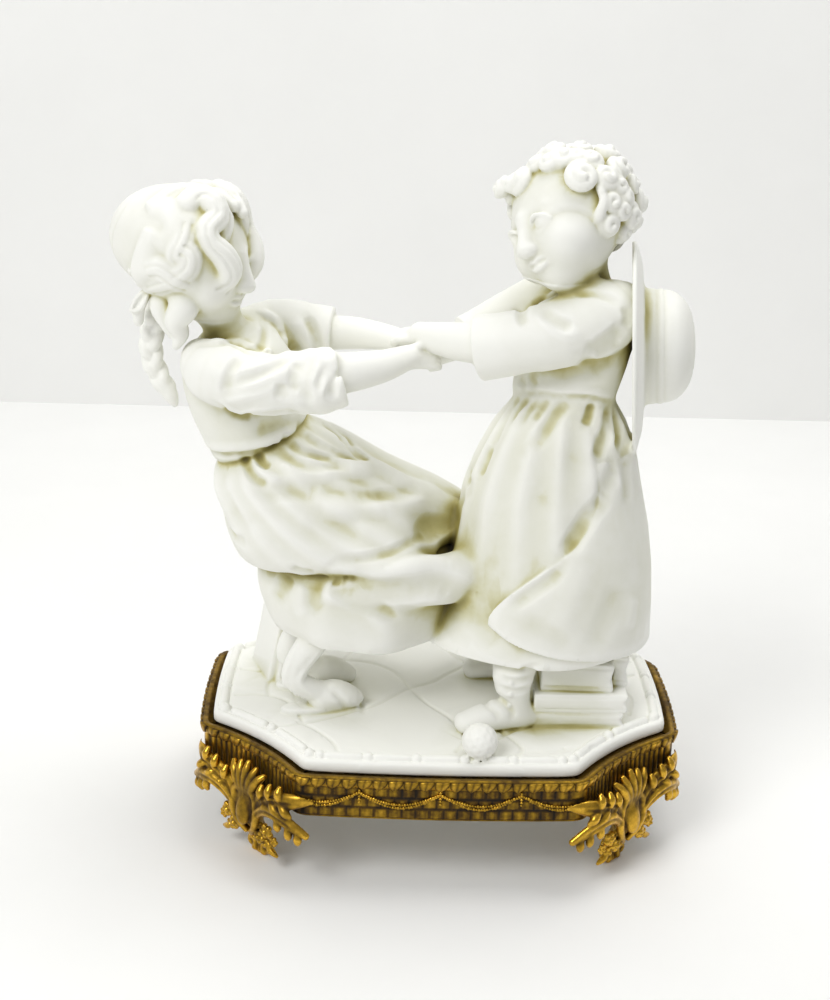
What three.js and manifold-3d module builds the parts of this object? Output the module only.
// A bisque group of two children dancing hand in hand on an eight-sided plinth, in a gilt metal stand.
// Millimetres, +Z up, +X along the plinth's long side to the child with the hat, -Y towards the front.
// Everything is laid out from the middle of the plinth, with z = 0 where the stand's feet touch the ground.

import * as THREE from "three";
import { mergeVertices } from "three/addons/utils/BufferGeometryUtils.js";
import Module from "manifold-3d";

const wasm = await Module();
wasm.setup();

// Plinth, measured at the slab's outer edge
const PLINTH_LENGTH = 151.6;
const PLINTH_WIDTH = 113.4;
const CORNER_CUT = [32.2, 31.6];
const LONG_SIDE_BOW = 1.4;
const SHORT_SIDE_BOW = 1.0;
const CORNER_HOLLOW = 2.8;
const STAND_HEIGHT = 40;
const SLAB_THICKNESS = 4;
const FLOOR_Z = STAND_HEIGHT + SLAB_THICKNESS + 1;
const BEAD_INSET = 3.4;
const BEAD_WIDTH = 3.2;
const BEAD_HEIGHT = 2.2;

// Stand: a pressed band with four cast feet
const BAND_GAP = 1.8;
const BAND_WALL = 1.2;
const BAND_DEPTH = 13.6;
const LEDGE_WIDTH = 9;
const FIT_GAP = 0.3;
const SOLE_RADIUS = 3.2;

// Children
const HEAD_HALF_WIDTH = 18.2;
const HEAD_HALF_HEIGHT = 21;
const HEAD_HALF_LENGTH = 20.5;
const CURL_RADIUS = 5.6;
const HAT_RADIUS = 33.5;
const CROWN_RADIUS = 18.5;
const CROWN_HEIGHT = 17.5;
const BALL_RADIUS = 5.8;

// How many faces the finest solids keep
const CHILDREN_FACES = 5200;
const FOOT_FACES = 420;

const at = (x, y, z) => new THREE.Vector3(x, y, z);
const middle = (points) =>
  points.reduce((sum, p) => sum.add(p), at(0, 0, 0)).divideScalar(points.length);

// A closed mesh from corners and three-cornered faces, turned so that its faces point outwards
function meshed(corners, faces) {
  let volume = 0;
  for (let i = 0; i < faces.length; i += 3) {
    const [a, b, c] = [0, 1, 2].map((k) => corners[faces[i + k]]);
    volume += a.dot(b.clone().cross(c));
  }
  const geometry = new THREE.BufferGeometry().setFromPoints(corners);
  geometry.setIndex(volume < 0 ? faces.slice().reverse() : faces);
  return geometry;
}

// One ring of a loft: an oval that reaches `along` and `aside` from its centre, with relief round it
function ring(centre, along, aside, count, relief = () => 0) {
  return Array.from({ length: count }, (_, i) => {
    const angle = (2 * Math.PI * i) / count;
    const reach = 1 + relief(angle);
    return centre
      .clone()
      .addScaledVector(along, Math.cos(angle) * reach)
      .addScaledVector(aside, Math.sin(angle) * reach);
  });
}

// One ring through its back, front, near and far points, as a hoop that holds a skirt out
function hoop(back, front, near, far, count, relief) {
  const centre = middle([back, front, near, far]);
  const along = front.clone().sub(back).divideScalar(2);
  const aside = far.clone().sub(near).divideScalar(2);
  return ring(centre, along, aside, count, relief);
}

// A closed solid through a row of rings, each end drawn to a point that stands out by its dome
function loft(rings, startDome = 0, endDome = 0) {
  const count = rings[0].length;
  const corners = rings.flat();
  const faces = [];
  for (let k = 0; k < rings.length - 1; k++) {
    for (let i = 0; i < count; i++) {
      const [a, b] = [k * count + i, k * count + ((i + 1) % count)];
      faces.push(a, b, b + count, a, b + count, a + count);
    }
  }
  const ends = [
    [0, 1, startDome],
    [rings.length - 1, rings.length - 2, endDome],
  ];
  for (const [end, inner, dome] of ends) {
    const centre = middle(rings[end]);
    const outward = centre.clone().sub(middle(rings[inner])).normalize();
    const tip = corners.push(centre.addScaledVector(outward, dome)) - 1;
    for (let i = 0; i < count; i++) {
      const [a, b] = [end * count + i, end * count + ((i + 1) % count)];
      faces.push(...(end === 0 ? [tip, b, a] : [tip, a, b]));
    }
  }
  return meshed(corners, faces);
}

// A limb, lock or stem: round or oval rings square to a path of [x, y, z, half width, half height]
function limb(stations, count, upright = at(0, 0, 1), dome = 0.45) {
  const places = stations.map(([x, y, z]) => at(x, y, z));
  const rings = stations.map(([, , , wide, tall = wide], k) => {
    const before = places[Math.max(k - 1, 0)];
    const after = places[Math.min(k + 1, places.length - 1)];
    const aim = after.clone().sub(before).normalize();
    const across = aim.clone().cross(upright).normalize();
    const up = across.clone().cross(aim);
    return ring(places[k], across.multiplyScalar(wide), up.multiplyScalar(tall), count);
  });
  return loft(rings, dome * stations[0][3], dome * stations.at(-1)[3]);
}

// An egg shape whose half axes are three vectors; relief takes a direction and gives a swelling
function egg(centre, side, up, forward, across, down, relief = () => 0) {
  const geometry = new THREE.SphereGeometry(1, across, down);
  const position = geometry.attributes.position;
  const corner = new THREE.Vector3();
  const matrix = new THREE.Matrix4().makeBasis(side, up, forward).setPosition(centre);
  for (let i = 0; i < position.count; i++) {
    corner.fromBufferAttribute(position, i);
    corner.multiplyScalar(1 + relief(corner.clone())).applyMatrix4(matrix);
    position.setXYZ(i, corner.x, corner.y, corner.z);
  }
  return geometry;
}
const bead = (x, y, z, radius, across = 6, down = 4) =>
  egg(at(x, y, z), at(radius, 0, 0), at(0, 0, radius), at(0, -radius, 0), across, down);

// Geometry to a solid that can be joined and cut, and back again
function solid(geometry) {
  const bare = geometry.clone();
  bare.deleteAttribute("normal");
  bare.deleteAttribute("uv");
  const merged = mergeVertices(bare, 1e-4);
  return new wasm.Manifold(
    new wasm.Mesh({
      numProp: 3,
      vertProperties: new Float32Array(merged.attributes.position.array),
      triVerts: new Uint32Array(merged.index.array),
    }),
  );
}
const joined = (geometries) => geometries.map(solid).reduce((whole, piece) => whole.add(piece));

// The outer skin alone, without the small pockets that are shut in where pieces meet:
// corners as an array of vectors, faces as triples of corner numbers
function outerSkin(body) {
  const { vertProperties, triVerts, numProp } = body.getMesh();
  const corners = Array.from({ length: vertProperties.length / numProp }, (_, i) =>
    at(...vertProperties.slice(i * numProp, i * numProp + 3)),
  );
  const root = corners.map((_, i) => i);
  const find = (i) => {
    let top = i;
    while (root[top] !== top) top = root[top];
    root[i] = top;
    return top;
  };
  const triples = [];
  for (let t = 0; t < triVerts.length; t += 3) {
    const [a, b, c] = triVerts.slice(t, t + 3);
    root[find(b)] = find(a);
    root[find(c)] = find(a);
    triples.push([a, b, c]);
  }
  const volume = new Map();
  for (const [a, b, c] of triples) {
    const share = corners[a].dot(corners[b].clone().cross(corners[c]));
    volume.set(find(a), (volume.get(find(a)) ?? 0) + share);
  }
  const [largest] = [...volume].reduce((best, one) => (one[1] > best[1] ? one : best));
  return { corners, triples: triples.filter(([a]) => find(a) === largest) };
}

// The squared distance to a set of planes, as ten sums
const planeSums = ({ x, y, z }, d, weight) =>
  [x * x, x * y, x * z, x * d, y * y, y * z, y * d, z * z, z * d, d * d].map((s) => s * weight);
function distanceSum(q, { x, y, z }) {
  const squares = q[0] * x * x + q[4] * y * y + q[7] * z * z + q[9];
  return squares + 2 * (q[1] * x * y + q[2] * x * z + q[3] * x + q[5] * y * z + q[6] * y + q[8] * z);
}

// Draws edges together, the least missed first, until `target` faces are left. The skin stays
// closed, because an edge closes only where its two ends share just the two corners beside it.
const LEAST_TURN = 0.25;
const SLIVER_AREA = 1e-4;
function slimmed({ corners, triples }, target) {
  const faces = triples.map((triple) => [...triple]);
  const around = corners.map(() => new Set());
  const sums = corners.map(() => new Float64Array(10));
  const normalOf = ([a, b, c], moved, to) => {
    const [p, q, r] = [a, b, c].map((i) => (i === moved ? to : corners[i]));
    return q.clone().sub(p).cross(r.clone().sub(p));
  };
  faces.forEach((face, f) => {
    const normal = normalOf(face);
    const area = normal.length();
    normal.divideScalar(area || 1);
    const share = planeSums(normal, -normal.dot(corners[face[0]]), area);
    for (const i of face) {
      around[i].add(f);
      share.forEach((value, k) => (sums[i][k] += value));
    }
  });
  const neighbours = (i) => new Set([...around[i]].flatMap((f) => faces[f]).filter((j) => j !== i));
  const stamp = corners.map(() => 0);
  const heap = [];
  const lower = (i, j) => heap[i].cost < heap[j].cost;
  const swap = (i, j) => ([heap[i], heap[j]] = [heap[j], heap[i]]);
  const push = (entry) => {
    let i = heap.push(entry) - 1;
    for (; i > 0 && lower(i, (i - 1) >> 1); i = (i - 1) >> 1) swap(i, (i - 1) >> 1);
  };
  const pop = () => {
    swap(0, heap.length - 1);
    const entry = heap.pop();
    for (let i = 0; ; ) {
      const [left, right] = [2 * i + 1, 2 * i + 2];
      let least = i;
      if (left < heap.length && lower(left, least)) least = left;
      if (right < heap.length && lower(right, least)) least = right;
      if (least === i) return entry;
      swap(i, least);
      i = least;
    }
  };
  const consider = (a, b) => {
    const both = sums[a].map((value, k) => value + sums[b][k]);
    const places = [corners[a], corners[b], corners[a].clone().lerp(corners[b], 0.5)];
    const length = corners[a].distanceToSquared(corners[b]);
    const costs = places.map((place) => distanceSum(both, place) + 1e-4 * length);
    const best = costs.indexOf(Math.min(...costs));
    push({ cost: costs[best], a, b, place: places[best].clone(), marks: [stamp[a], stamp[b]] });
  };
  corners.forEach((_, a) => around[a].size && neighbours(a).forEach((b) => a < b && consider(a, b)));
  let left = faces.length;
  while (left > target && heap.length) {
    const { a, b, place, marks } = pop();
    if (stamp[a] !== marks[0] || stamp[b] !== marks[1]) continue;
    const [nearA, nearB] = [neighbours(a), neighbours(b)];
    if ([...nearA].filter((i) => nearB.has(i)).length !== 2) continue;
    const shared = [...around[a]].filter((f) => around[b].has(f));
    const turns = [a, b].some((end) =>
      [...around[end]].some((f) => {
        if (shared.includes(f)) return false;
        const [before, after] = [normalOf(faces[f]), normalOf(faces[f], end, place)];
        const size = after.length();
        return size < SLIVER_AREA || before.dot(after) < LEAST_TURN * before.length() * size;
      }),
    );
    if (shared.length !== 2 || turns) continue;
    shared.forEach((f) => faces[f].forEach((i) => around[i].delete(f)));
    for (const f of around[b]) {
      faces[f] = faces[f].map((i) => (i === b ? a : i));
      around[a].add(f);
    }
    around[b].clear();
    corners[a] = place;
    sums[b].forEach((value, k) => (sums[a][k] += value));
    shared.forEach((f) => (faces[f] = null));
    stamp[a] += 1;
    stamp[b] += 1;
    left -= 2;
    neighbours(a).forEach((i) => consider(a, i));
  }
  return skinGeometry({ corners, triples: faces.filter((face) => face) });
}

function skinGeometry({ corners, triples }) {
  const geometry = new THREE.BufferGeometry().setFromPoints(triples.flat().map((i) => corners[i]));
  geometry.computeVertexNormals();
  return geometry;
}

// The plinth's outline, a given distance inside its outer edge. The long and short sides swell a
// little, the cut corners are hollow. `steps` gives the points along a long side, a cut and a short side.
const [HALF_LENGTH, HALF_WIDTH] = [PLINTH_LENGTH / 2, PLINTH_WIDTH / 2];
const LONG_END = HALF_LENGTH - CORNER_CUT[0];
const SHORT_END = HALF_WIDTH - CORNER_CUT[1];
const FRONT_CORNERS = [
  [-LONG_END, -HALF_WIDTH, LONG_SIDE_BOW, 0],
  [LONG_END, -HALF_WIDTH, -CORNER_HOLLOW, 1],
  [HALF_LENGTH, -SHORT_END, SHORT_SIDE_BOW, 2],
  [HALF_LENGTH, SHORT_END, -CORNER_HOLLOW, 1],
];
const CORNERS = [...FRONT_CORNERS, ...FRONT_CORNERS.map(([x, y, bow, kind]) => [-x, -y, bow, kind])];
const CORNER_EASE = 0.025;

function edgePoint(side, along) {
  const [x, y, bow] = CORNERS[side];
  const [nextX, nextY] = CORNERS[(side + 1) % CORNERS.length];
  const run = new THREE.Vector2(nextX - x, nextY - y);
  const out = new THREE.Vector2(run.y, -run.x).normalize();
  const place = new THREE.Vector2(x, y).addScaledVector(run, along);
  return place.addScaledVector(out, 4 * bow * along * (1 - along));
}

function outlineOf(edge, inset) {
  return edge.map((place, i) => {
    const before = edge.at(i - 1);
    const after = edge[(i + 1) % edge.length];
    const [arriving, leaving] = [place.clone().sub(before), after.clone().sub(place)];
    const [a, b] = [arriving, leaving].map((run) => new THREE.Vector2(run.y, -run.x).normalize());
    const corner = a.clone().add(b).normalize();
    return place.clone().addScaledVector(corner, -inset / corner.dot(a));
  });
}

function plainEdge(steps) {
  return CORNERS.flatMap(([, , , kind], side) =>
    Array.from({ length: steps[kind] + 1 }, (_, i) =>
      edgePoint(side, CORNER_EASE + (1 - 2 * CORNER_EASE) * (i / steps[kind])),
    ),
  );
}

// A ring swept round the plinth: each profile point is [distance outside the edge, z]
function sweptRing(edge, profile) {
  const rows = profile.map(([outside, z]) =>
    outlineOf(edge, -outside).map(({ x, y }) => at(x, y, z)),
  );
  const count = edge.length;
  const faces = [];
  for (let k = 0; k < rows.length; k++) {
    const next = (k + 1) % rows.length;
    for (let i = 0; i < count; i++) {
      const [a, b] = [i, (i + 1) % count];
      faces.push(k * count + a, k * count + b, next * count + b);
      faces.push(k * count + a, next * count + b, next * count + a);
    }
  }
  return meshed(rows.flat(), faces);
}

// Plinth: a slab with a soft upper edge, and a bead-and-reel row laid round the paved floor
function plinthSlab() {
  const edge = plainEdge([5, 4, 3]);
  const level = (inset, z) => outlineOf(edge, inset).map(({ x, y }) => at(x, y, z));
  return loft([
    level(0.9, STAND_HEIGHT),
    level(0, STAND_HEIGHT + 1),
    level(0, STAND_HEIGHT + SLAB_THICKNESS - 0.9),
    level(1.2, FLOOR_Z),
  ]);
}

// Long beads and round beads take turns along each side, pinched in between
const BEAD_PAIRS = [5, 2, 3];
const PAIR_STATIONS = [
  [0, 0.45],
  [0.11, 1],
  [0.22, 0.45],
  [0.3, 0.95],
  [0.92, 0.95],
];
function beadRow() {
  const stations = CORNERS.flatMap(([, , , kind], side) =>
    Array.from({ length: BEAD_PAIRS[kind] }, (_, pair) =>
      PAIR_STATIONS.map(([share, fullness]) => {
        const along = (pair + share) / BEAD_PAIRS[kind];
        return { place: edgePoint(side, CORNER_EASE + (1 - 2 * CORNER_EASE) * along), fullness };
      }),
    ).flat(),
  );
  const edge = stations.map(({ place }) => place);
  const section = [
    [0.5, -0.4],
    [0.3, 0.85],
    [-0.3, 0.85],
    [-0.5, -0.4],
  ];
  const rows = section.map(([across, rise]) => {
    const outer = outlineOf(edge, BEAD_INSET + across * BEAD_WIDTH);
    const centre = outlineOf(edge, BEAD_INSET);
    return outer.map(({ x, y }, i) => {
      const full = stations[i].fullness;
      const place = centre[i].clone().lerp(new THREE.Vector2(x, y), full);
      return at(place.x, place.y, FLOOR_Z + rise * BEAD_HEIGHT * (rise > 0 ? full : 1));
    });
  });
  const count = edge.length;
  const faces = [];
  for (let k = 0; k < rows.length; k++) {
    const next = (k + 1) % rows.length;
    for (let i = 0; i < count; i++) {
      const [a, b] = [i, (i + 1) % count];
      faces.push(k * count + a, k * count + b, next * count + b);
      faces.push(k * count + a, next * count + b, next * count + a);
    }
  }
  return meshed(rows.flat(), faces);
}

// Heads: a child's skull with cheeks, nose, brow and chin as soft swellings of an egg
const swelling = (towards, spread, height) => {
  const aim = at(...towards).normalize();
  return (way) => height * Math.exp(-way.clone().normalize().distanceToSquared(aim) / spread ** 2);
};
const FACE_PARTS = [
  swelling([0, -0.22, 1], 0.16, 0.16),
  swelling([0.34, 0, 0.9], 0.17, -0.075),
  swelling([-0.34, 0, 0.9], 0.17, -0.075),
  swelling([0.45, -0.4, 0.8], 0.28, 0.06),
  swelling([-0.45, -0.4, 0.8], 0.28, 0.06),
  swelling([0, -0.52, 0.86], 0.13, 0.05),
  swelling([0, -0.66, 0.8], 0.09, -0.05),
  swelling([0, -0.84, 0.58], 0.22, 0.07),
  swelling([0, -0.7, -0.7], 0.6, -0.16),
];
const faceRelief = (way) => FACE_PARTS.reduce((sum, part) => sum + part(way), 0);

function headFrame(centre, forward, up) {
  const ahead = forward.clone().normalize();
  const side = up.clone().cross(ahead).normalize();
  const top = ahead.clone().cross(side);
  const place = (x, y, z) =>
    centre.clone().addScaledVector(side, x).addScaledVector(top, y).addScaledVector(ahead, z);
  return { centre, ahead, side, top, place };
}

function head({ centre, ahead, side, top }) {
  return egg(
    centre,
    side.clone().multiplyScalar(HEAD_HALF_WIDTH),
    top.clone().multiplyScalar(HEAD_HALF_HEIGHT),
    ahead.clone().multiplyScalar(HEAD_HALF_LENGTH),
    26,
    20,
    faceRelief,
  );
}

// A hand: palm, thumb and four fingers. Each finger has its own curl, 0 straight to 1 closed.
function hand(wrist, knuckles, back, size, curls, thumbLift) {
  const along = knuckles.clone().sub(wrist).normalize();
  const aside = back.clone().cross(along).normalize();
  const spot = (a, s, b) => {
    const place = wrist.clone().addScaledVector(along, a * size);
    place.addScaledVector(aside, s * size).addScaledVector(back, b * size);
    return place.toArray();
  };
  const palm = limb(
    [
      [...spot(-0.2, 0, 0), 0.42 * size, 0.36 * size],
      [...spot(0.5, 0, 0), 0.56 * size, 0.34 * size],
      [...spot(1.15, 0, -0.05), 0.52 * size, 0.28 * size],
    ],
    8,
    back,
  );
  const thumb = limb(
    [
      [...spot(0.25, 0.35, 0.1), 0.22 * size],
      [...spot(0.75, 0.62, 0.25 + 0.3 * thumbLift), 0.18 * size],
      [...spot(1.2, 0.62, 0.1 + 0.9 * thumbLift), 0.14 * size],
    ],
    6,
    back,
  );
  const fingers = curls.map((curl, k) => {
    const s = 0.39 - 0.26 * k;
    const reach = 1.95 - 0.45 * curl;
    return limb(
      [
        [...spot(1.0, s, 0), 0.18 * size],
        [...spot(1.5, s, -0.16 * curl), 0.17 * size],
        [...spot(reach - 0.15 * curl, s, -0.62 * curl), 0.13 * size],
      ],
      5,
      back,
    );
  });
  return [palm, thumb, ...fingers];
}

// Gathers that are deep at the waist and open into a few broad folds at the hem
const folds = (gathers, gatherDepth, broad, broadDepth, turn) => (drop) => (angle) =>
  gatherDepth * (1 - drop) ** 2 * Math.sin(gathers * angle) +
  broadDepth * drop * Math.sin(broad * angle + turn);

// The child with plaits leans back to the left, on tiptoe in clogs
const PLAIT_HEAD = headFrame(at(-84.5, -7, 196.5), at(0.84, -0.48, -0.24), at(0.12, 0.02, 1));

function plaitBody() {
  const bodice = loft(
    [
      hoop(at(-75, -5, 127), at(-47, -4, 140.5), at(-61, -18, 133), at(-60, 9, 136), 14),
      hoop(at(-78, -5, 131), at(-46.5, -5, 145), at(-62, -20, 136), at(-60, 11, 140), 14),
      hoop(at(-83, -2, 144), at(-51.5, -8, 154), at(-71, -21, 147), at(-60, 14, 152), 14),
      hoop(at(-84, 0, 158), at(-56, -10, 164), at(-77, -20, 160), at(-60, 15, 165), 14),
      hoop(at(-80, 0, 169), at(-63, -8, 171), at(-76, -13, 167), at(-64, 8, 172), 14),
    ],
    1,
    2,
  );
  const neck = limb(
    [
      [-69, -4, 164, 8],
      [-74, -5, 174, 6.8],
      [-80, -6, 186, 7.2],
    ],
    10,
    at(0, 1, 0),
  );
  const nearSleeve = limb(
    [
      [-79, -17, 164, 7],
      [-74, -21, 161.5, 10.8],
      [-62, -25, 160.5, 10.5],
      [-49, -26, 160.5, 9],
      [-44.5, -25.6, 161, 11.4],
      [-37.5, -24.8, 161.8, 11.2],
      [-34.6, -24.4, 162, 8],
    ],
    10,
  );
  const farSleeve = limb(
    [
      [-65, 9, 168, 7],
      [-58, 14, 167, 9],
      [-48, 17, 165, 9],
      [-40.5, 16.4, 164.5, 8],
      [-39.4, 16, 164.5, 6],
    ],
    9,
  );
  const nearForearm = limb(
    [
      [-40, -25.2, 161.8, 6.8],
      [-26, -20.4, 162.6, 5.8],
      [-13.5, -13.6, 165.2, 4],
    ],
    8,
  );
  const farForearm = limb(
    [
      [-44, 17, 164.5, 5.6],
      [-32, 12.6, 166, 5],
      [-20, 5, 166.6, 3.8],
      [-13, 1, 165.4, 3.6],
    ],
    8,
  );
  return [
    bodice,
    neck,
    nearSleeve,
    farSleeve,
    nearForearm,
    farForearm,
    ...hand(at(-13.5, -13.6, 165.2), at(-6, -11, 164.6), at(0.1, -0.86, 0.5), 7, [0, 1, 1, 1], 0.6),
  ];
}

function plaitHair() {
  const { place } = PLAIT_HEAD;
  const cap = egg(
    place(0, 3.2, -3.6),
    PLAIT_HEAD.side.clone().multiplyScalar(19.6),
    PLAIT_HEAD.top.clone().multiplyScalar(20),
    PLAIT_HEAD.ahead.clone().multiplyScalar(20.5),
    14,
    10,
  );
  const locks = [-1, 1].flatMap((half) =>
    [0, 1, 2].map((row) => {
      const drop = 0.34 * row;
      const path = [0, 0.25, 0.5, 0.75, 1].map((t) => {
        const turn = half * (0.12 + 1.55 * t) * (1 - 0.12 * row);
        const rise = 0.92 - drop - 1.15 * t * t + 0.09 * Math.sin(9 * t + row);
        const out = Math.cos(rise);
        const lift = 1.07 + 0.02 * row;
        const spot = place(
          HEAD_HALF_WIDTH * lift * Math.sin(turn) * out,
          HEAD_HALF_HEIGHT * lift * Math.sin(rise),
          HEAD_HALF_LENGTH * lift * Math.cos(turn) * out - 4 * row * t,
        );
        return [...spot.toArray(), 3.1 - 1.2 * Math.abs(t - 0.45)];
      });
      return limb(path, 6, at(0, 0.3, 1));
    }),
  );
  const plait = limb(
    Array.from({ length: 9 }, (_, i) => {
      const t = i / 8;
      const [x, y] = [-91.5 - 3.5 * Math.sin(Math.PI * t) + 4.5 * t, -4 - 5 * t];
      return [x, y, 180 - 28.5 * t, i % 2 ? 2.5 : 3.7];
    }),
    7,
    at(0, 1, 0),
  );
  const ribbon = [-1, 1].map((way) =>
    limb(
      [
        [-94, -9, 183.5, 1.4],
        [-97 + way, -12.5, 183.5 + 4 * way, 3],
        [-95.5 + 2 * way, -14.5, 183.5 + 6.5 * way, 1.6],
      ],
      5,
      at(0, 1, 0),
    ),
  );
  const sideCurl = limb(
    [
      [-85, -19.5, 186, 4.4],
      [-87.5, -20, 179, 4.6],
      [-84.5, -18, 173.5, 3.4],
      [-83, -16.5, 168.5, 2.2],
    ],
    7,
    at(0, 1, 0),
  );
  return [cap, ...locks, plait, ...ribbon, sideCurl];
}

// The overskirt swings out to the right over a wider underskirt until it touches the other child's
// skirt, and its front end gapes there in a deep hollow
function plaitSkirts() {
  const count = 30;
  const gather = folds(11, 0.07, 5, 0.05, 0.6);
  const overskirt = loft(
    [
      [at(-75, -5, 128), at(-46.5, -4, 141), at(-61, -18, 133.5), at(-60, 9, 137), 0],
      [at(-75.5, -5, 122), at(-34, -3, 134), at(-58, -27, 126), at(-54, 17, 131), 0.2],
      [at(-73.5, -5, 113), at(-20, -1, 124), at(-49, -33, 117), at(-43, 23, 122), 0.5],
      [at(-71, -4, 105), at(-2, 1, 115.5), at(-41, -36, 108), at(-33, 26, 113), 0.8],
      [at(-66.5, -3, 97), at(9, 1, 109), at(-35, -36, 101), at(-27, 27, 104), 1],
      [at(-60, -3, 95), at(7, 0, 101), at(-35, -31, 97), at(-27, 24, 99), 1],
    ].map(([back, front, near, far, drop]) => hoop(back, front, near, far, count, gather(drop))),
    0,
    3,
  );
  const flare = folds(8, 0, 6, 0.06, 2.2);
  const underskirt = loft(
    [
      [at(-58, -4, 103), at(4, 0, 104), at(-32, -28, 104), at(-28, 22, 104), 0],
      [at(-62, -4, 88), at(7, -2, 90), at(-28, -32, 89), at(-28, 25, 89), 0.5],
      [at(-60, -4, 79), at(2, -3, 77), at(-27, -33, 76), at(-28, 26, 77), 1],
      [at(-57, -4, 75), at(-1, -3, 72), at(-26, -31.5, 69.5), at(-27, 24, 72), 1],
      [at(-53, -4, 77), at(-5, -3, 74), at(-26, -28, 72), at(-27, 20, 74), 1],
    ].map(([back, front, near, far, drop]) => hoop(back, front, near, far, 26, flare(drop))),
    0,
    -2,
  );
  const lobe = limb(
    [
      [-36, -32, 92, 3, 4],
      [-18, -31, 94.5, 5, 8],
      [-4, -27, 96, 7, 10.5],
      [7, -21, 96.5, 7, 11],
      [11.5, -15, 97, 4, 8],
    ],
    8,
  );
  const mouth = egg(at(-1, -22, 110), at(11, 0, -2.5), at(1.5, 0, 8.5), at(0, -24, 0), 10, 8);
  return joined([overskirt]).subtract(solid(mouth)).add(joined([underskirt, lobe]));
}

// Tiptoe legs: down to a lifted heel, then forward into the clog's toe cap
const clogLeg = ([x, y], [toeX, toeY], heelLift) => {
  const aim = at(toeX - x, toeY - y, 0).normalize();
  const side = at(-aim.y, aim.x, 0);
  const along = (a, z) => [x + aim.x * a, y + aim.y * a, z];
  const calf = limb(
    [
      [...along(15, FLOOR_Z + 32), 5.6],
      [...along(10, FLOOR_Z + 24), 4.8],
      [...along(4, FLOOR_Z + heelLift), 4.4],
      [...along(9, FLOOR_Z + 8), 4],
      [...along(17, FLOOR_Z + 4.5), 4],
    ],
    8,
    side,
  );
  const [soleLength, soleWidth] = [aim.clone().multiplyScalar(13.6), side.clone().multiplyScalar(4.8)];
  const sole = loft(
    [-0.5, 2.1].map((rise) => ring(at(...along(13.2, FLOOR_Z + rise)), soleLength, soleWidth, 10)),
  );
  const cap = limb(
    [
      [...along(14.5, FLOOR_Z + 3.5), 5.2, 5],
      [...along(19, FLOOR_Z + 4), 5.4, 5],
      [...along(24.5, FLOOR_Z + 2.6), 4.6, 3.2],
    ],
    8,
  );
  return [calf, sole, cap];
};

// A pair of book covers stands on end behind the legs and carries the skirt
function satchel() {
  return [
    [-58.6, 7.5, 1.5, 20],
    [-54.4, 5, 2.2, 19],
  ].map(([x, y, half, length]) =>
    new THREE.BoxGeometry(2 * half, length, 33)
      .rotateY(0.2)
      .rotateZ(0.36)
      .translate(x, y, FLOOR_Z + 15),
  );
}

// The child with the hat leans back to the right, with one boot forward
const HAT_HEAD = headFrame(at(33.5, -12.5, 210), at(-0.7, -0.62, -0.34), at(-0.25, -0.12, 1));
const HAT_AXIS = at(0.985, -0.13, 0.07).normalize();
const HAT_CENTRE = at(60.5, -6.5, 168.7);

function hatBody() {
  const bodice = loft(
    [
      hoop(at(51, -9, 150), at(23, -7, 151), at(37, -21, 150.5), at(37, 6, 150.5), 14),
      hoop(at(53.5, -9, 154), at(20.5, -7, 155), at(37.5, -22.5, 154), at(36.5, 7.5, 155), 14),
      hoop(at(57, -9, 166), at(23.5, -8, 167), at(41, -24, 166), at(38, 11, 167), 14),
      hoop(at(59, -8, 178), at(27, -9, 179), at(44.5, -24, 179), at(40, 12, 179), 14),
      hoop(at(56, -6, 187.5), at(35, -9, 187.5), at(45.5, -18, 188), at(41, 6, 187), 14),
    ],
    1,
    2,
  );
  const neck = limb(
    [
      [44, -7, 182, 8.5],
      [42, -8, 190, 7.6],
      [39, -10, 200, 8],
    ],
    10,
    at(0, 1, 0),
  );
  const collar = limb(
    [
      [46, -3, 188, 11],
      [44, -6.5, 192, 9.6],
    ],
    12,
    at(0, 1, 0),
    0.1,
  );
  const nearSleeve = limb(
    [
      [52, -17, 185, 7.5],
      [46, -21.5, 181.5, 12],
      [33, -25, 177, 10.6],
      [20, -24, 174, 9.4],
      [10.5, -21.6, 172, 9],
      [9.2, -21.2, 171.8, 7],
    ],
    10,
  );
  const farSleeve = limb(
    [
      [43, 6, 184, 7.5],
      [37, 10.5, 181, 10.5],
      [24, 9, 175, 9.5],
      [9, 2.5, 168.5, 8],
      [7.5, 2, 168, 6],
    ],
    9,
  );
  const nearForearm = limb(
    [
      [14, -23, 172.6, 7],
      [2, -16.6, 171.6, 6],
      [-9.5, -6.4, 170.6, 4.3],
    ],
    8,
  );
  const farForearm = limb(
    [
      [12, 3.6, 169.5, 6],
      [0, -1.4, 166, 5],
      [-7, -6, 163.6, 4],
    ],
    8,
  );
  return [
    bodice,
    neck,
    collar,
    nearSleeve,
    farSleeve,
    nearForearm,
    farForearm,
    ...hand(at(-9.5, -6.4, 170.6), at(-18, 0.6, 168.6), at(-0.1, -0.5, 0.86), 7, [0.9, 1, 1, 1], 0),
  ];
}

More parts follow.
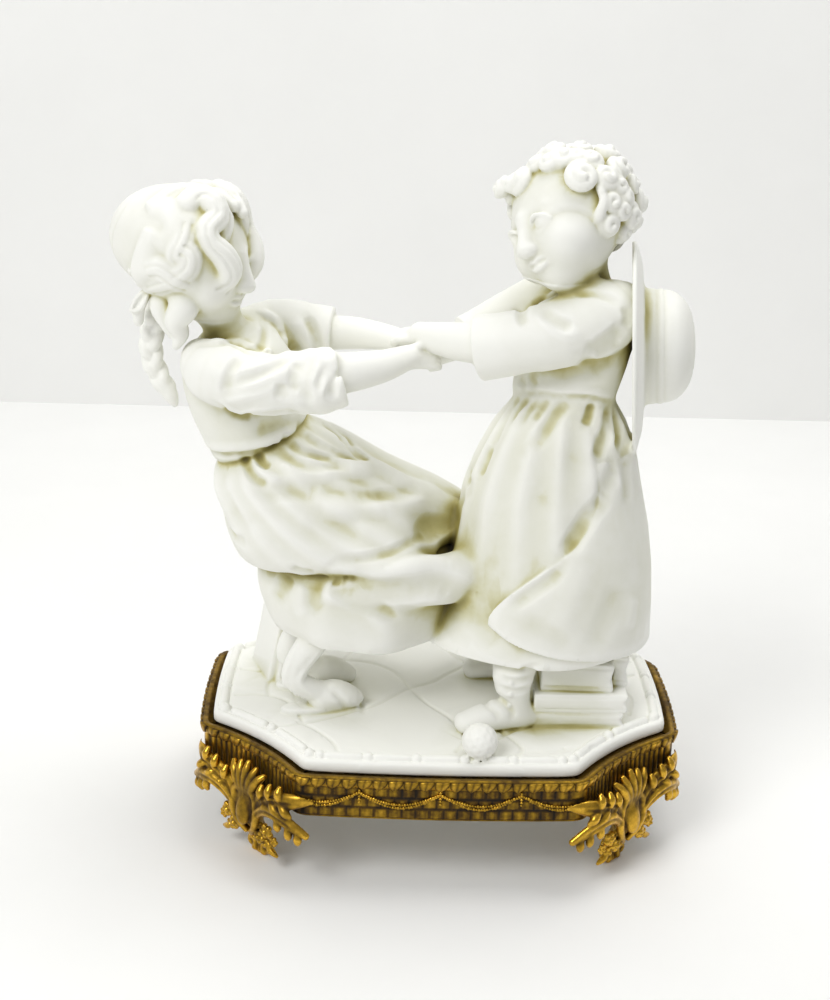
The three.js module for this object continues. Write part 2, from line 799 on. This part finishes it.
// Curls set over the scalp by a turning spiral, leaving the face and nape clear
const GOLDEN_TURN = Math.PI * (3 - Math.sqrt(5));
function hatCurls() {
  const spots = 40;
  const curls = [];
  for (let i = 0; i < spots; i++) {
    const rise = 1 - (1.62 * (i + 0.5)) / spots;
    const turn = GOLDEN_TURN * i;
    const out = Math.sqrt(1 - rise * rise);
    const [x, y, z] = [out * Math.sin(turn), rise, out * Math.cos(turn)];
    const onFace = z > 0.3 && y < 0.52;
    const onCheek = z > 0 && y < 0.05;
    if (onFace || onCheek) continue;
    const spot = HAT_HEAD.place(
      HEAD_HALF_WIDTH * 1.04 * x,
      HEAD_HALF_HEIGHT * 0.99 * y,
      HEAD_HALF_LENGTH * 1.0 * z,
    );
    const size = CURL_RADIUS * (0.92 + 0.12 * Math.sin(5 * i));
    curls.push(bead(spot.x, spot.y, spot.z, size, 7, 5));
  }
  return curls;
}

// The straw hat hangs on the back by its ribbon, brim against the shoulders and crown outwards
function hat() {
  const profile = [
    [0, -1.5],
    [CROWN_RADIUS - 3, -1.5],
    [HAT_RADIUS * 0.8, -1.2],
    [HAT_RADIUS, -2.6],
    [HAT_RADIUS, -1],
    [HAT_RADIUS * 0.8, 1],
    [CROWN_RADIUS, 1.6],
    [CROWN_RADIUS * 0.98, CROWN_HEIGHT * 0.45],
    [CROWN_RADIUS * 0.8, CROWN_HEIGHT * 0.8],
    [CROWN_RADIUS * 0.42, CROWN_HEIGHT * 0.97],
    [0, CROWN_HEIGHT],
  ].map(([radius, rise]) => new THREE.Vector2(radius, rise));
  const turn = new THREE.Quaternion().setFromUnitVectors(at(0, 1, 0), HAT_AXIS);
  return new THREE.LatheGeometry(profile, 22).applyQuaternion(turn).translate(...HAT_CENTRE);
}

// The skirt hangs in a bell, and its right half laps over the left half in front
const HAT_SKIRT = [
  { z: 153, x: 37.5, y: -8, wide: 15.2, deep: 13.6 },
  { z: 143, x: 36.5, y: -8, wide: 20.4, deep: 18.4 },
  { z: 132, x: 35.7, y: -8, wide: 25, deep: 22.5 },
  { z: 121, x: 35, y: -7.6, wide: 28, deep: 25.5 },
  { z: 110, x: 35.4, y: -7, wide: 30, deep: 28 },
  { z: 96, x: 35.2, y: -6.4, wide: 32, deep: 30.4 },
  { z: 82, x: 34, y: -6, wide: 33.8, deep: 31.8 },
  { z: 69, x: 31.6, y: -5.6, wide: 36.2, deep: 32.6 },
];
function hatSkirtAt(z) {
  const k = Math.max(HAT_SKIRT.findIndex((level) => level.z <= z), 1);
  const [upper, lower] = [HAT_SKIRT[k - 1], HAT_SKIRT[k]];
  const share = (upper.z - z) / (upper.z - lower.z);
  const mix = (key) => THREE.MathUtils.lerp(upper[key], lower[key], share);
  return { x: mix("x"), y: mix("y"), wide: mix("wide"), deep: mix("deep") };
}
function hatSkirt() {
  const gather = folds(12, 0.07, 5, 0.04, 1.8);
  const rings = HAT_SKIRT.map(({ z, x, y, wide, deep }, k) => {
    const drop = k / (HAT_SKIRT.length - 1);
    return ring(at(x, y, z), at(wide, 0, 0), at(0, deep, 0), 32, gather(drop));
  });
  const { x, y, z, wide, deep } = HAT_SKIRT.at(-1);
  const turnedUnder = ring(at(x, y, z + 2), at(wide - 4, 0, 0), at(0, deep - 4, 0), 32);
  return loft([...rings, turnedUnder], 0, -2);
}

// The lap is a curved panel: its left edge runs from the waist down to a rounded tip
function hatLap() {
  const [rows, columns] = [8, 8];
  const [top, bottom] = [136, 69.5];
  const [thickness, bite] = [3.2, 4];
  const leftEdge = (t) => -0.35 * Math.PI - 0.34 * Math.PI * Math.sin(0.5 * Math.PI * t) ** 3;
  const rightEdge = 0.06 * Math.PI;
  const surface = (lift) =>
    Array.from({ length: rows + 1 }, (_, r) => {
      const t = r / rows;
      return Array.from({ length: columns + 1 }, (_, c) => {
        const s = c / columns;
        const tipRise = 13 * (1 - s) ** 3 * t;
        const z = THREE.MathUtils.lerp(top, bottom, t) + tipRise;
        const angle = THREE.MathUtils.lerp(leftEdge(t), rightEdge, s);
        const level = hatSkirtAt(z);
        const out = lift * (0.35 + 0.65 * t);
        return at(
          level.x + (level.wide + out) * Math.cos(angle),
          level.y + (level.deep + out) * Math.sin(angle),
          z,
        );
      });
    });
  const [outside, inside] = [surface(thickness).flat(), surface(-bite).flat()];
  const [width, count] = [columns + 1, outside.length];
  const faces = [];
  const quad = (a, b, c, d) => faces.push(a, b, c, a, c, d);
  for (let r = 0; r < rows; r++) {
    for (let c = 0; c < columns; c++) {
      const [a, b] = [r * width + c, r * width + c + 1];
      quad(a, b, b + width, a + width);
      quad(count + a, count + a + width, count + b + width, count + b);
    }
    const [left, right] = [r * width, r * width + columns];
    quad(left, left + width, count + left + width, count + left);
    quad(right, count + right, count + right + width, right + width);
  }
  for (let c = 0; c < columns; c++) {
    const base = rows * width + c;
    quad(c, count + c, count + c + 1, c + 1);
    quad(base, base + 1, count + base + 1, count + base);
  }
  return meshed([...outside, ...inside], faces);
}

function hatBoots() {
  const nearBoot = limb(
    [
      [29, -29.5, FLOOR_Z + 3.4, 4.6, 4.2],
      [24, -31, FLOOR_Z + 4.6, 5.2, 5.4],
      [15, -33.6, FLOOR_Z + 4, 5.2, 4.6],
      [8, -35.8, FLOOR_Z + 2.6, 4.4, 3.2],
    ],
    9,
  );
  const nearAnkle = limb(
    [
      [25.5, -30, FLOOR_Z + 3, 5],
      [24, -30.5, FLOOR_Z + 12, 5.4],
      [23.6, -30, FLOOR_Z + 18, 6.8],
      [25.4, -27, FLOOR_Z + 29, 8],
    ],
    9,
    at(0, 1, 0),
  );
  const farBoot = limb(
    [
      [33, 6, FLOOR_Z + 3.4, 4.6, 4.2],
      [27, 6, FLOOR_Z + 4.4, 5, 5],
      [12, 5, FLOOR_Z + 2.8, 4.6, 3.4],
    ],
    8,
  );
  const farAnkle = limb(
    [
      [31, 6, FLOOR_Z + 3, 5],
      [31, 6, FLOOR_Z + 16, 6],
      [32, 3, FLOOR_Z + 30, 8],
    ],
    8,
    at(0, 1, 0),
  );
  return [nearBoot, nearAnkle, farBoot, farAnkle];
}

// A pile of school books under the back of the skirt: [x, y, z, length, depth, height, turn]
const BOOKS = [
  [45.2, -20.6, 0, 30.4, 24, 5.8, 0.03],
  [46, -20.2, 5.8, 31, 24.6, 6.4, 0.02],
  [45, -19.6, 12.2, 24, 21, 10, -0.02],
  [59.5, -17, 12.2, 5.4, 17, 11, 0],
];
const SPINE_ROUND = 0.8;
function books() {
  return BOOKS.map(([x, y, rise, length, depth, height, turn]) => {
    const spine = new THREE.Shape();
    const [half, low] = [depth / 2, SPINE_ROUND];
    spine.moveTo(half, 0);
    spine.lineTo(half, height);
    spine.lineTo(-half + low, height);
    spine.quadraticCurveTo(-half - low, height / 2, -half + low, 0);
    const block = { depth: length, bevelEnabled: false, curveSegments: 3 };
    const lying = new THREE.Matrix4().makeBasis(at(0, 1, 0), at(0, 0, 1), at(1, 0, 0));
    lying.setPosition(-length / 2, 0, 0);
    const geometry = new THREE.ExtrudeGeometry(spine, block).applyMatrix4(lying);
    return geometry.rotateZ(turn).translate(x, y, FLOOR_Z + rise - 0.4);
  });
}

const ball = () => bead(12.2, -52.5, FLOOR_Z + BALL_RADIUS - 0.4, BALL_RADIUS, 12, 8);

function figurine() {
  const children = joined([
    ...plaitBody(),
    head(PLAIT_HEAD),
    ...plaitHair(),
    ...clogLeg([-52.5, -26], [-27, -18], 12),
    ...clogLeg([-55.5, -8], [-31, 0], 12),
    ...hatBody(),
    head(HAT_HEAD),
    ...hatCurls(),
    hat(),
    hatSkirt(),
    hatLap(),
    ...hatBoots(),
  ]);
  const group = slimmed(outerSkin(children.add(plaitSkirts())), CHILDREN_FACES);
  return skinGeometry(
    outerSkin(joined([plinthSlab(), beadRow(), ...satchel(), ...books(), ball(), group])),
  );
}

// Stand band: an upright wall with a rolled lip, and a ledge turned in below the slab
const LEDGE_TOP = STAND_HEIGHT - FIT_GAP;
const BAND_PROFILE = [
  [BAND_GAP + BAND_WALL, STAND_HEIGHT - BAND_DEPTH],
  [BAND_GAP + BAND_WALL, STAND_HEIGHT - 2.6],
  [BAND_GAP + BAND_WALL + 1, STAND_HEIGHT - 1],
  [BAND_GAP + BAND_WALL + 0.4, STAND_HEIGHT + 0.8],
  [BAND_GAP, STAND_HEIGHT + 0.8],
  [BAND_GAP, LEDGE_TOP],
  [BAND_GAP - LEDGE_WIDTH, LEDGE_TOP],
  [BAND_GAP - LEDGE_WIDTH, LEDGE_TOP - BAND_WALL],
  [BAND_GAP, LEDGE_TOP - BAND_WALL],
  [BAND_GAP, STAND_HEIGHT - BAND_DEPTH],
];
const standBand = () => skinGeometry(outerSkin(solid(sweptRing(plainEdge([5, 4, 3]), BAND_PROFILE))));

// A cast foot, drawn for the front right corner: x along the cut corner, y outwards, z up.
// Leaf arms reach round on to both sides, over a palmette, flower sprays and a tapering leg.
const BEND = Math.SQRT1_2;
const HALF_CUT = Math.hypot(...CORNER_CUT) / 2;
function footPieces() {
  const facing = at(0, -1, 0);
  const leg = limb(
    [
      [0, -3, -4, SOLE_RADIUS, SOLE_RADIUS * 0.9],
      [0, -2.6, 2, 3, 2.6],
      [0, -1, 8, 2.7, 2.4],
      [0, 1.6, 13, 4.2, 3],
      [0, 3.6, 20, 5.6, 3.4],
      [0, 3, 27, 4.6, 2.6],
    ],
    8,
    facing,
    0,
  );
  const palmette = [-1, 0, 1].map((k) =>
    limb(
      [
        [2 * k, 3.4, 24, 1.9],
        [3.6 * k, 3.4, 31, 2.7, 2],
        [5.2 * k, 2.6, 36 - 1.6 * Math.abs(k), 1.5],
      ],
      6,
      facing,
    ),
  );
  const past = HALF_CUT - 1;
  const halves = [-1, 1].flatMap((way) => {
    const arm = limb(
      [
        [way * 2.5, 3.6, 18, 2.2, 3.4],
        [way * 8, 4.4, 24.5, 2.2, 4],
        [way * (past - 3), 5, 29, 2.2, 4.2],
        [way * (past + 3 * BEND), 4.2 - 3 * BEND, 31.4, 2, 3.6],
        [way * (past + 7 * BEND), 3.2 - 7 * BEND, 33, 2, 3],
      ],
      7,
    );
    const scroll = bead(way * (past + 8.5 * BEND), 2.8 - 8.5 * BEND, 34, 3.4, 7, 5);
    const leafTip = limb(
      [
        [way * (past - 5), 4.8, 27, 2, 3],
        [way * (past + 1), 4.4, 23.4, 1.9, 2.6],
        [way * (past + 5.5), 3.2, 20.6, 1.3, 1.5],
      ],
      6,
    );
    const stalk = limb(
      [
        [way * 1.4, 3.4, 18, 2],
        [way * 9.4, 3.6, 14, 1.7],
      ],
      5,
    );
    const spray = [
      [8, 3.8, 15.6, 3.2],
      [11, 3.2, 12, 2.3],
      [12.4, 3.2, 16.4, 2.2],
    ].map(([x, y, z, radius]) => bead(way * x, y, z, radius, 6, 4));
    const toe = bead(way * 3.8, -1.6, 2.1, 2.1, 6, 4);
    return [arm, scroll, leafTip, stalk, ...spray, toe];
  });
  return [leg, ...palmette, ...halves];
}

// Each foot is set on its corner, cut back to clear the band by the fitting gap, and cut off flat at
// the ground
function foot(signX, signY) {
  const out = at(signX, signY, 0).normalize();
  const middleOfCut = at(
    signX * (HALF_LENGTH - CORNER_CUT[0] / 2),
    signY * (HALF_WIDTH - CORNER_CUT[1] / 2),
    0,
  );
  const seat = middleOfCut.addScaledVector(out, BAND_GAP + BAND_WALL - CORNER_HOLLOW);
  const along = at(out.y, -out.x, 0);
  const place = new THREE.Matrix4().makeBasis(along, out, at(0, 0, 1)).setPosition(seat);
  const pieces = footPieces().map((geometry) => geometry.applyMatrix4(place));
  const edge = plainEdge([5, 4, 3]);
  const clear = BAND_GAP + BAND_WALL + 1 + FIT_GAP;
  const level = (z) => outlineOf(edge, -clear).map(({ x, y }) => at(x, y, z));
  const bandSpace = loft([level(STAND_HEIGHT - BAND_DEPTH - FIT_GAP), level(STAND_HEIGHT + 3)]);
  const ground = new THREE.BoxGeometry(40, 40, 8).translate(seat.x, seat.y, -4);
  const cast = slimmed(outerSkin(joined(pieces).subtract(solid(bandSpace))), FOOT_FACES);
  return skinGeometry(outerSkin(solid(cast).subtract(solid(ground))));
}

const bisque = new THREE.MeshStandardMaterial({ color: 0xeeebdd, roughness: 0.78, metalness: 0 });
const gilt = () => new THREE.MeshStandardMaterial({ color: 0x9c7a2c, roughness: 0.42, metalness: 1 });

function named(name, geometry, material) {
  const mesh = new THREE.Mesh(geometry, material);
  mesh.name = name;
  return mesh;
}

const group = new THREE.Group();
group.add(
  named("figurine", figurine(), bisque),
  named("stand_band", standBand(), gilt()),
  named("foot_front_left", foot(-1, -1), gilt()),
  named("foot_front_right", foot(1, -1), gilt()),
  named("foot_back_left", foot(-1, 1), gilt()),
  named("foot_back_right", foot(1, 1), gilt()),
);

// The part's origin is the middle of its box, on the ground
const box = new THREE.Box3().setFromObject(group);
group.position.set(-(box.min.x + box.max.x) / 2, -(box.min.y + box.max.y) / 2, -box.min.z);
group.updateMatrixWorld(true);

export default group;
